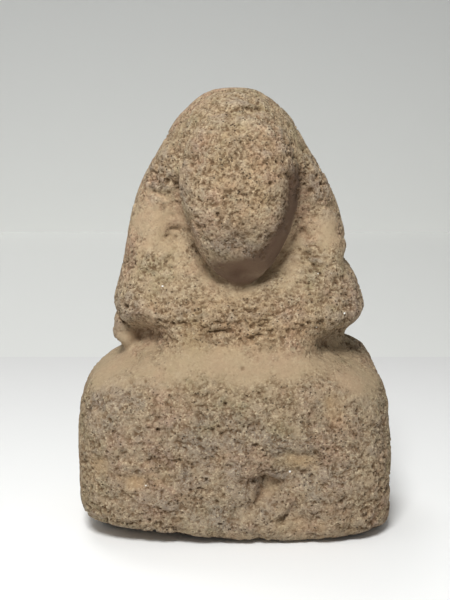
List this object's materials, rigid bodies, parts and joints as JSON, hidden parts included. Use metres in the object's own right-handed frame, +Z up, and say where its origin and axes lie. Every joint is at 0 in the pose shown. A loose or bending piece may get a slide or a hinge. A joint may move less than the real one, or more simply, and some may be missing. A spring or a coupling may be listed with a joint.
{
  "type": "stone jizo statue",
  "caption": "Small weathered stone figure with a blank egg-shaped head bowed out of a hooded cape, on a rounded block that is lap and base, all carved from one stone.",
  "frame": {"origin": "middle of the underside, on the surface the figure stands on, under the centre of its box", "axes": "+Z up towards the crown, the figure looks along -Y, +X to a viewer's right when the figure is seen from the front"},
  "size_m": [0.1592, 0.099, 0.22],
  "materials": {
    "stone": "rough, pitted and grainy, worn soft on the ledges, with pale dust and tan and grey patches"
  },
  "bodies": {
    "root": {"stone_figure": "stone"}
  },
  "joints": []
}
